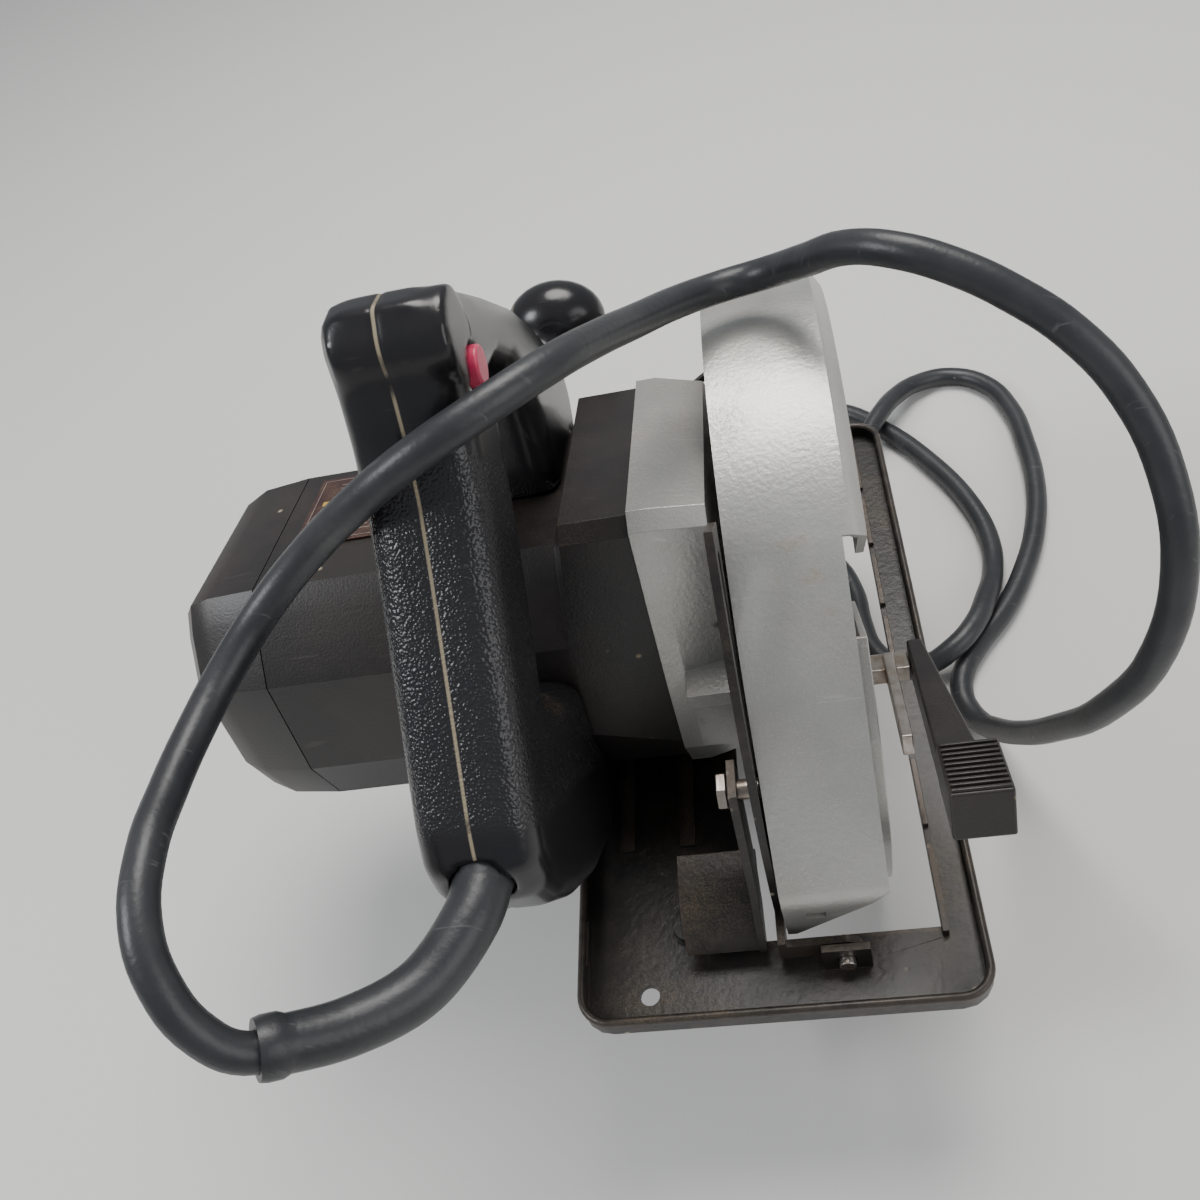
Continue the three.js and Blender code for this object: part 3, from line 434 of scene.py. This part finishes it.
FINISHES = {
    make.__name__: make()
    for make in (
        silver_casting, black_steel, bright_steel, blade_steel, dark_iron, copper, carbon, handle_plastic,
        housing_plastic, red_plastic, label_film, lead_rubber, plug_brass,
    )
}
SLOT_OF = {row["node"]: row["material_slot"] for row in frame["record"]["subparts"]}
for node_name, node_object in frame["nodes"].items():
    node_object.data.materials.clear()
    node_object.data.materials.append(FINISHES[SLOT_OF[node_name]])


# Mesh helpers ------------------------------------------------------------------------------


def new_piece(name, mesh, slot, body, *nodes):
    piece = bpy.data.objects.new(name, mesh)
    bpy.context.scene.collection.objects.link(piece)
    mesh.materials.clear()
    mesh.materials.append(FINISHES[slot])
    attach(piece, body)
    if nodes:
        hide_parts(*nodes)
    return piece


def shade(mesh, angle):
    for polygon in mesh.polygons:
        polygon.use_smooth = True
    mesh.set_sharp_from_angle(angle=math.radians(angle))


def baked(mesh, *modifiers):
    """The mesh with each (kind, settings) modifier applied in turn."""
    helper = bpy.data.objects.new("helper", mesh)
    bpy.context.scene.collection.objects.link(helper)
    for kind, settings in modifiers:
        modifier = helper.modifiers.new(kind.lower(), kind)
        for key, value in settings.items():
            setattr(modifier, key, value)
    graph = bpy.context.evaluated_depsgraph_get()
    result = bpy.data.meshes.new_from_object(helper.evaluated_get(graph))
    bpy.data.objects.remove(helper)
    return result


def clean_copy(node, merge_flats=True):
    """A copy of a node's mesh whose flat faces are whole, unless one of them has a hole in it."""
    mesh = frame["nodes"][node].data.copy()
    work = bmesh.new()
    work.from_mesh(mesh)
    bmesh.ops.remove_doubles(work, verts=work.verts, dist=2e-6)
    if merge_flats:
        bmesh.ops.dissolve_limit(work, angle_limit=math.radians(0.6), verts=work.verts, edges=work.edges)
    work.to_mesh(mesh)
    work.free()
    return mesh


def eased(node, width, angle=30, segments=3, merge_flats=True):
    """The node with its sharp edges rounded, as paint or a casting skin leaves them."""
    settings = dict(
        width=width * MM,
        segments=segments,
        limit_method="ANGLE",
        angle_limit=math.radians(angle),
        use_clamp_overlap=True,
        miter_outer="MITER_ARC",
    )
    mesh = baked(clean_copy(node, merge_flats), ("BEVEL", settings))
    shade(mesh, 32)
    mesh = baked(mesh, ("WEIGHTED_NORMAL", dict(keep_sharp=True, weight=90)))
    return new_piece(node + "_finished", mesh, SLOT_OF[node], frame["nodes"][node]["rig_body"], node)


def moulded(node, voxel, rounds):
    """The node as one soft moulding: every edge and step flows into the next."""
    mesh = baked(
        clean_copy(node),
        ("REMESH", dict(mode="VOXEL", voxel_size=voxel * MM)),
        ("SMOOTH", dict(factor=0.5, iterations=rounds)),
    )
    shade(mesh, 60)
    return new_piece(node + "_moulding", mesh, SLOT_OF[node], frame["nodes"][node]["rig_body"], node)


def swept(points, radii, sides=20):
    """A closed tube mesh through the points, with a radius at each."""
    mesh = bpy.data.meshes.new("tube")
    rings = []
    up = Vector((0, 0, 1))
    for i, point in enumerate(points):
        ahead = points[min(i + 1, len(points) - 1)] - points[max(i - 1, 0)]
        ahead.normalize()
        side = ahead.cross(up).normalized()
        top = side.cross(ahead)
        rings.append(
            [
                point + (side * math.cos(a) + top * math.sin(a)) * radii[i]
                for a in (2 * math.pi * k / sides for k in range(sides))
            ]
        )
    corners = [corner for ring in rings for corner in ring]
    faces = [tuple(range(sides))]
    for i in range(len(rings) - 1):
        for k in range(sides):
            a, b = i * sides + k, i * sides + (k + 1) % sides
            faces.append((b, a, a + sides, b + sides))
    faces.append(tuple(reversed(range((len(rings) - 1) * sides, len(rings) * sides))))
    mesh.from_pydata(corners, [], faces)
    mesh.update()
    shade(mesh, 40)
    return mesh


def block(lo, hi, ease=0.3):
    """A box between two corners in millimetres, with eased edges."""
    mesh = bpy.data.meshes.new("block")
    work = bmesh.new()
    bmesh.ops.create_cube(work, size=1)
    low, high = mm(*lo), mm(*hi)
    for corner in work.verts:
        corner.co = Vector([low[k] + (corner.co[k] + 0.5) * (high[k] - low[k]) for k in range(3)])
    bmesh.ops.bevel(work, geom=work.edges[:], offset=ease * MM, segments=2, profile=0.5, affect="EDGES")
    work.to_mesh(mesh)
    work.free()
    shade(mesh, 40)
    return mesh


def joined(meshes, turn=Matrix.Identity(4)):
    mesh = bpy.data.meshes.new("group")
    work = bmesh.new()
    for part in meshes:
        work.from_mesh(part)
    bmesh.ops.transform(work, matrix=turn, verts=work.verts)
    work.to_mesh(mesh)
    work.free()
    shade(mesh, 40)
    return mesh


# The mains lead ------------------------------------------------------------------------------

ON_FLOOR = FLOOR_Z + CORD_R
OVER = ON_FLOOR + 2 * CORD_R + 0.4
INSIDE_RELIEF = (-57, -172.6, 104.2)
EXIT = (-69.9, -179.3, 112.8)
LEAD = [
    INSIDE_RELIEF, EXIT, (-76.5, -178, 120), (-82.5, -171, 130.5), (-86.5, -160, 137), (-88.5, -145, 139),
    (-89.5, -127, 136.5), (-87.5, -109, 135.5), (-81.5, -93, 138), (-71.5, -81, 144), (-57, -76, 154.4),
    (-39.6, -77.6, 168), (-24, -76.5, 177.2), (-8, -70, 181.5), (7, -56, 180), (16, -35, 170),
    (24, -14, 158.5), (34, 4, 149.5), (46, 14, 145), (58, 14, 146.5), (68.5, 4.5, 154.5), (79, -6, 163),
    (90, -15, 165.6), (103, -22, 162.5), (115, -29, 157), (127, -37, 149), (138, -47, 136.5),
    (145.5, -59, 119),
    (148, -70, 97), (145, -75, 71), (138, -67, 36), (131, -46, -5), (124.5, -25, -38), (119.6, -11, -55),
    (116.4, -3.4, ON_FLOOR + 2.8), (113.5, 4, ON_FLOOR + 0.5), (112, 13, ON_FLOOR), (114.5, 24, ON_FLOOR),
    (122, 36, ON_FLOOR), (137, 54, ON_FLOOR), (149, 74, ON_FLOOR), (159, 98, ON_FLOOR), (165, 125, ON_FLOOR),
    (166.5, 152, ON_FLOOR), (165, 177, ON_FLOOR), (157, 198, ON_FLOOR), (142, 208, ON_FLOOR),
    (126, 205, ON_FLOOR + 2), (113, 193, ON_FLOOR + 6), (104, 179, OVER), (95.5, 165, OVER), (87, 151, OVER),
    (78, 140.5, ON_FLOOR + 8), (66, 137.5, ON_FLOOR + 3), (53, 143, ON_FLOOR), (43, 156, ON_FLOOR),
    (41, 174, ON_FLOOR), (49, 191, ON_FLOOR), (66, 199, ON_FLOOR), (85, 195, ON_FLOOR), (103, 178, ON_FLOOR),
    (123, 147, ON_FLOOR), (135, 117, ON_FLOOR), (138.5, 92, ON_FLOOR), (136, 74, ON_FLOOR + 1.2),
    (130, 57, ON_FLOOR + 6.6), (122, 41, OVER), (112, 31, ON_FLOOR + 8.2), (100, 27.5, ON_FLOOR + 3),
    (89, 31, ON_FLOOR), (81, 41, ON_FLOOR), (78, 56, ON_FLOOR), (77, 74, ON_FLOOR), (71, 92, ON_FLOOR),
    (58, 106, ON_FLOOR), (44, 117, ON_FLOOR), (36, 128, ON_FLOOR),
]
COIL = (-24, 160)
COIL_INNER = 40.6
COIL_OUTER = 49.4
LAYER_UP = 8.8
COIL_TURNS = (
    (COIL_OUTER, ON_FLOOR + 0.2),
    (COIL_INNER, ON_FLOOR + 0.2),
    (COIL_INNER, ON_FLOOR + LAYER_UP),
    (COIL_OUTER, ON_FLOOR + LAYER_UP),
)
ENTRY_DEGREES = -21
POINTS_PER_TURN = 24
ENTRY_RADIUS = 59
PLUG_BACK = (21, 143.6, FLOOR_Z + 27)


def coil_points():
    """Four turns, two beside and two above, each passing to the next over a fifth of a turn."""
    points = []
    total = POINTS_PER_TURN * len(COIL_TURNS)
    for k in range(1, total - 1):
        turn, within = divmod(k, POINTS_PER_TURN)
        radius, height = COIL_TURNS[turn]
        before_radius, before_height = COIL_TURNS[turn - 1] if turn else (ENTRY_RADIUS, height)
        ease = min(1, within / (POINTS_PER_TURN * 0.2))
        ease = ease * ease * (3 - 2 * ease)
        angle = math.radians(ENTRY_DEGREES + 360 * k / POINTS_PER_TURN)
        r = before_radius + (radius - before_radius) * ease
        z = before_height + (height - before_height) * ease
        left = total - k
        if left < 4:
            z += (PLUG_BACK[2] - z) * (4 - left) / 4
        points.append((COIL[0] + r * math.cos(angle), COIL[1] + r * math.sin(angle), z))
    return points[:-1] + [PLUG_BACK]


def make_lead():
    route = LEAD + coil_points()
    data = bpy.data.curves.new("mains_lead", "CURVE")
    data.dimensions = "3D"
    spline = data.splines.new("BEZIER")
    spline.bezier_points.add(len(route) - 1)
    for knot, place in zip(spline.bezier_points, route):
        knot.co = mm(*place)
        knot.handle_left_type = knot.handle_right_type = "AUTO"
    spline.resolution_u = 5
    data.bevel_depth = CORD_R * MM
    data.bevel_resolution = 5
    data.use_fill_caps = True
    lead = bpy.data.objects.new("mains_lead", data)
    bpy.context.scene.collection.objects.link(lead)
    data.materials.append(FINISHES["lead_rubber"])
    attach(lead, "saw_body")
    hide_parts("lead_raised", "lead_on_floor", "lead_return", "lead_coil")
    return lead


# The sleeve's bend, from inside the grip to its open lip, and its radii in millimetres.
RELIEF = [(GRIP_X, -133, 97), (-29, -146, 97), (-39, -161, 97), (-53, -171, 102), (-68.6, -178.4, 111.6)]
ROOT_R = 7.5
SLEEVE_R = 7.3
SLEEVE_TAPER = 1.1
LIP_R = 7.0
LIP_END_R = 6.6
LIP_FROM = 0.93


def smooth_line(points, steps):
    """Evenly counted points on a uniform Catmull-Rom line through the given ones."""
    points = [Vector(p) for p in points]
    padded = [points[0] * 2 - points[1]] + points + [points[-1] * 2 - points[-2]]
    result = []
    for i in range(1, len(padded) - 2):
        a, b, c, d = padded[i - 1 : i + 3]
        for k in range(steps):
            t = k / steps
            result.append(
                0.5
                * (
                    2 * b
                    + (c - a) * t
                    + (2 * a - 5 * b + 4 * c - d) * t * t
                    + (3 * b - a - 3 * c + d) * t * t * t
                )
            )
    return result + [points[-1]]


def make_strain_relief():
    line = [p * MM for p in smooth_line(RELIEF, 12)]
    count = len(line)
    radii = []
    for i in range(count):
        share = i / (count - 1)
        radius = SLEEVE_R - SLEEVE_TAPER * share
        if i < 4:
            radius = ROOT_R
        if share > LIP_FROM:
            radius = LIP_R if i < count - 1 else LIP_END_R
        radii.append(radius * MM)
    return new_piece("rubber_strain_relief", swept(line, radii, 28), "lead_rubber", "saw_body", "strain_relief")


lead = make_lead()
relief = make_strain_relief()
plug_body = eased("plug_body", 2.5)


# Castings, pressings and mouldings --------------------------------------------------------------

SEAM_GAP = 0.0003
SEAM_HALF = 0.0009
SEAM_DEPTH = 0.00035


def make_handle():
    """Both halves read as one moulding with a fine groove where they meet."""
    halves = [clean_copy("handle_left_half"), clean_copy("handle_right_half")]
    for mesh, way in zip(halves, (1, -1)):
        for corner in mesh.vertices:
            if abs(corner.co.x - GRIP_X * MM) < 0.0004:
                corner.co.x += way * SEAM_GAP
    mesh = baked(
        joined(halves),
        ("REMESH", dict(mode="VOXEL", voxel_size=1.15 * MM)),
        ("SMOOTH", dict(factor=0.5, iterations=12)),
    )
    for corner in mesh.vertices:
        off = abs(corner.co.x - GRIP_X * MM)
        if off < SEAM_HALF:
            corner.co -= corner.normal * SEAM_DEPTH * (1 - off / SEAM_HALF)
    shade(mesh, 60)
    return new_piece(
        "handle_moulding", mesh, "handle_plastic", "saw_body", "handle_left_half", "handle_right_half"
    )


make_handle()
moulded("front_knob", 1.2, 6)
eased("trigger", 1.5)
eased("lock_off_button", 0.8)
eased("upper_guard", 1.6, 40, 4)
eased("gear_case", 1.6, 24)
eased("motor_housing", 2.2, 18)
eased("end_cap", 2.0, 24)
eased("lower_guard", 0.5, 40)
eased("shoe", 0.5, 40, merge_flats=False)
eased("height_quadrant", 0.5, 40)
eased("height_lock_lever", 0.7, 40)
eased("lift_lever", 1.2, 30)
eased("tilt_quadrant", 0.4, 40)
eased("tilt_bracket", 0.4, 40)
eased("tilt_knob", 1.0, 30)
SMALL_HARDWARE = ("lift_lever_bracket", "height_lock_bolt", "rear_tilt_pin", "height_hinge_pin", "blade_bolt")
for plain in SMALL_HARDWARE:
    eased(plain, 0.4, 30)

# The rating label: blank bars and rules, in the plane of the motor's long upper flat -------------

LABEL_MIDDLE = mm(-79, -0.5, 98.5)
LABEL_TURN = math.atan2(-14, 63)
LABEL_PLACE = Matrix.Translation(LABEL_MIDDLE) @ Matrix.Rotation(LABEL_TURN, 4, "X")
PRINT_Z0 = 0.68
PRINT_Z1 = 0.86


def print_on_label(name, colour, strips):
    """Raised print on the label, as (x0, x1, y0, y1) strips in its own plane."""
    meshes = [block((x0, y0, PRINT_Z0), (x1, y1, PRINT_Z1), 0.05) for x0, x1, y0, y1 in strips]
    ink = new_piece(name, joined(meshes, LABEL_PLACE), "label_film", "saw_body")
    ink.data.materials.clear()
    ink.data.materials.append(printed_bar(name + "_ink", colour))


print_on_label("label_red_bar", (0.5, 0.05, 0.035, 1), [(-9, 13, 7.5, 10.5)])
print_on_label("label_yellow_bar", (0.55, 0.36, 0.06, 1), [(-13, 9, 2.5, 5)])
thin_lines = [(-13, 11 - 5 * (k % 2), -1.5 - 2.2 * k, -1.1 - 2.2 * k) for k in range(7)]
thin_frame = [
    (-15.6, 15.6, 18.2, 18.5), (-15.6, 15.6, -18.5, -18.2),
    (-15.6, -15.3, -18.5, 18.5), (15.3, 15.6, -18.5, 18.5),
    (-9, 13, 14.6, 15), (-9, 13, 12.4, 12.8),
]
print_on_label("label_fine_lines", (0.24, 0.2, 0.17, 1), thin_lines + thin_frame)

# Ribs across the lift lever's thumb pad, drawn in the lever's own frame ---------------------------

RIBS = 10
RIB_PITCH = 2
LEVER_TURN = Matrix.Translation(mm(0, 0, ARBOR[1])) @ Matrix.Rotation(math.radians(160), 4, "X")
rib_starts = [108.4 + RIB_PITCH * k for k in range(RIBS)]
ribs = [block((84.6, y, -8.9), (98.9, y + 0.9, -7.8), 0.25) for y in rib_starts]
new_piece("lever_pad_ribs", joined(ribs, LEVER_TURN), "housing_plastic", "lower_guard_body")


# The sole plate's rolled edge -------------------------------------------------------------------

BEAD_R = 1.3
BEAD_IN = 1
BEAD_CORNER = 9
BEAD_Z = 6.3


def rounded_loop(x0, y0, x1, y1, r, z, steps=8):
    """A rectangle's outline with round corners, as points in metres."""
    points = []
    corners = ((x1 - r, y1 - r), (x0 + r, y1 - r), (x0 + r, y0 + r), (x1 - r, y0 + r))
    for (cx, cy), start in zip(corners, (0, 90, 180, 270)):
        for k in range(steps + 1):
            a = math.radians(start + 90 * k / steps)
            points.append(mm(cx + r * math.cos(a), cy + r * math.sin(a), z))
    return points


def make_rolled_edge():
    """The plate's upturned edge is rolled over into a round bead."""
    data = bpy.data.curves.new("rolled_edge", "CURVE")
    data.dimensions = "3D"
    spline = data.splines.new("POLY")
    low, high = (Vector(corner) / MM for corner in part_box("shoe"))
    loop = rounded_loop(
        low.x + BEAD_IN, low.y + BEAD_IN, high.x - BEAD_IN, high.y - BEAD_IN, BEAD_CORNER, BEAD_Z
    )
    spline.points.add(len(loop) - 1)
    for knot, place in zip(spline.points, loop):
        knot.co = (*place, 1)
    spline.use_cyclic_u = True
    data.bevel_depth = BEAD_R * MM
    data.bevel_resolution = 3
    helper = bpy.data.objects.new("helper", data)
    bpy.context.scene.collection.objects.link(helper)
    mesh = bpy.data.meshes.new_from_object(helper.evaluated_get(bpy.context.evaluated_depsgraph_get()))
    bpy.data.objects.remove(helper)
    shade(mesh, 60)
    new_piece("shoe_rolled_edge", mesh, "black_steel", "sole_plate")


make_rolled_edge()
